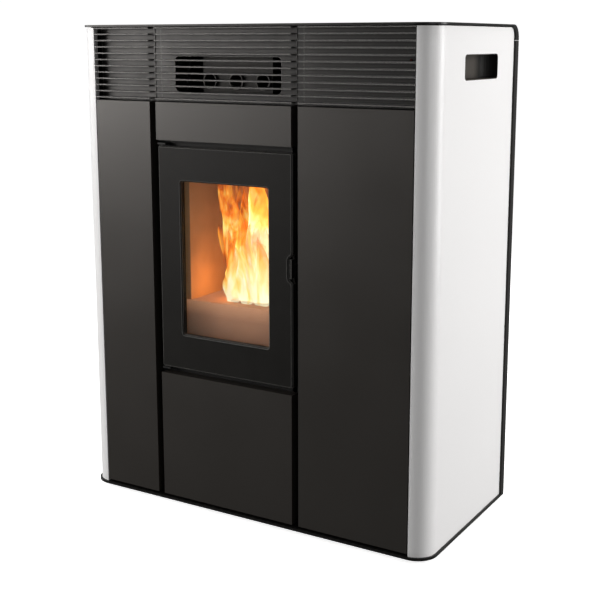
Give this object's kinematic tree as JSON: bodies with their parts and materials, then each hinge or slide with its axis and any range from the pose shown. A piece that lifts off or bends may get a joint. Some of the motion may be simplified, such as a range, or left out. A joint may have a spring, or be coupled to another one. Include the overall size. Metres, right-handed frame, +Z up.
{
  "type": "pellet stove",
  "caption": "Wide shallow freestanding pellet stove with pale side panels, a black front with a full-width grille and a glazed fire door, and a pellet hopper under the top.",
  "frame": {"origin": "middle of the footprint, on the floor", "axes": "+X across the front, to the right as seen from the front; -Y is the way the door faces; +Z up"},
  "size_m": [0.909, 0.4646, 1.115],
  "materials": {
    "white_paint": "satin",
    "black_paint": "satin",
    "frame_paint": "matt",
    "plastic": "matt",
    "cast_iron": "matt",
    "galvanised": "satin",
    "steel": "satin",
    "firebrick": "matt",
    "rubber": "matt",
    "rope_seal": "matt",
    "glass": "gloss",
    "board": "satin",
    "receiver": "gloss"
  },
  "bodies": {
    "casing": {"base_plate": "black_paint", "right_side_panel": "white_paint", "left_side_panel": "white_paint", "right_grip_cup": "plastic", "left_grip_cup": "plastic", "top_plate": "black_paint", "lid_hinge_pin": "steel", "back_panel": "black_paint", "left_front_panel": "black_paint", "right_front_panel": "black_paint", "lower_centre_panel": "black_paint", "upper_centre_panel": "black_paint", "grille_left": "black_paint", "grille_centre": "black_paint", "grille_right": "black_paint", "grille_backing_plate": "black_paint", "remote_receiver": "receiver", "front_frame": "frame_paint", "front_frame_right": "frame_paint", "firebox_shell": "cast_iron", "heat_exchanger": "galvanised", "rear_liner": "firebrick", "left_liner": "firebrick", "right_liner": "firebrick", "baffle_plate": "firebrick", "burner_deck": "cast_iron", "flame_guard": "cast_iron", "combustion_air_box": "galvanised", "igniter": "steel", "ash_pan": "galvanised", "hopper": "galvanised", "hopper_guard": "steel", "auger_tube": "steel", "auger_motor": "frame_paint", "pellet_chute": "steel", "room_fan_duct": "galvanised", "room_fan_motor": "frame_paint", "smoke_fan_housing": "cast_iron", "smoke_fan_motor": "frame_paint", "control_panel": "plastic", "circuit_board": "board", "mains_inlet": "plastic"},
    "door": {"door_frame": "cast_iron", "door_glass": "glass", "glass_retainer": "galvanised", "door_gasket": "rope_seal"},
    "door_lever": {"door_lever": "cast_iron"},
    "hopper_lid": {"hopper_lid": "black_paint"},
    "foot_front_left": {"levelling_foot_front_left": "rubber"},
    "foot_front_right": {"levelling_foot_front_right": "rubber"},
    "foot_rear_left": {"levelling_foot_rear_left": "rubber"},
    "foot_rear_right": {"levelling_foot_rear_right": "rubber"},
    "burn_pot": {"burn_pot": "cast_iron"},
    "auger_screw": {"auger_screw": "steel"},
    "room_fan_rotor": {"room_fan_rotor": "steel"},
    "smoke_fan_impeller": {"smoke_fan_impeller": "steel"},
    "control_button_1": {"control_button_1": "plastic"},
    "control_button_2": {"control_button_2": "plastic"},
    "control_button_3": {"control_button_3": "plastic"},
    "power_switch": {"power_switch": "plastic"}
  },
  "joints": [
    {"name": "door_hinge", "type": "hinge", "parent": "casing", "child": "door", "pos_m": [-0.2246, -0.21375, 0.59], "axis": [0, 0, -1], "range_deg": [0, 105]},
    {"name": "door_lever_pivot", "type": "hinge", "parent": "door", "child": "door_lever", "pos_m": [0.1167, -0.20935, 0.599], "axis": [0, 0, -1], "range_deg": [0, 12], "stiffness_Nm_per_rad": 0.6},
    {"name": "hopper_lid_hinge", "type": "hinge", "parent": "casing", "child": "hopper_lid", "pos_m": [0.287, 0.07315, 1.1116], "axis": [-1, 0, 0], "range_deg": [0, 80]},
    {"name": "level_front_left", "type": "slide", "parent": "casing", "child": "foot_front_left", "axis": [0, 0, -1], "range_m": [0, 0.012]},
    {"name": "level_front_right", "type": "slide", "parent": "casing", "child": "foot_front_right", "axis": [0, 0, -1], "range_m": [0, 0.012]},
    {"name": "level_rear_left", "type": "slide", "parent": "casing", "child": "foot_rear_left", "axis": [0, 0, -1], "range_m": [0, 0.012]},
    {"name": "level_rear_right", "type": "slide", "parent": "casing", "child": "foot_rear_right", "axis": [0, 0, -1], "range_m": [0, 0.012]},
    {"name": "burn_pot_lift", "type": "slide", "parent": "casing", "child": "burn_pot", "axis": [0, 0, 1], "range_m": [0, 0.06]},
    {"name": "auger_turn", "type": "hinge", "parent": "casing", "child": "auger_screw", "pos_m": [0.356, -0.08775, 0.42], "axis": [-0.6247, 0, 0.7809], "continuous": true},
    {"name": "room_fan_turn", "type": "hinge", "parent": "casing", "child": "room_fan_rotor", "pos_m": [-0.055, 0.03525, 0.64], "axis": [1, 0, 0], "continuous": true},
    {"name": "smoke_fan_turn", "type": "hinge", "parent": "casing", "child": "smoke_fan_impeller", "pos_m": [-0.1352, 0.04, 0.41], "axis": [0, 1, 0], "continuous": true},
    {"name": "press_button_1", "type": "slide", "parent": "casing", "child": "control_button_1", "axis": [0, 0, -1], "range_m": [0, 0.0015], "stiffness_N_per_m": 400},
    {"name": "press_button_2", "type": "slide", "parent": "casing", "child": "control_button_2", "axis": [0, 0, -1], "range_m": [0, 0.0015], "stiffness_N_per_m": 400},
    {"name": "press_button_3", "type": "slide", "parent": "casing", "child": "control_button_3", "axis": [0, 0, -1], "range_m": [0, 0.0015], "stiffness_N_per_m": 400},
    {"name": "power_switch_rock", "type": "hinge", "parent": "casing", "child": "power_switch", "pos_m": [-0.37, 0.19875, 0.15588], "axis": [1, 0, 0], "range_deg": [0, 14]}
  ]
}
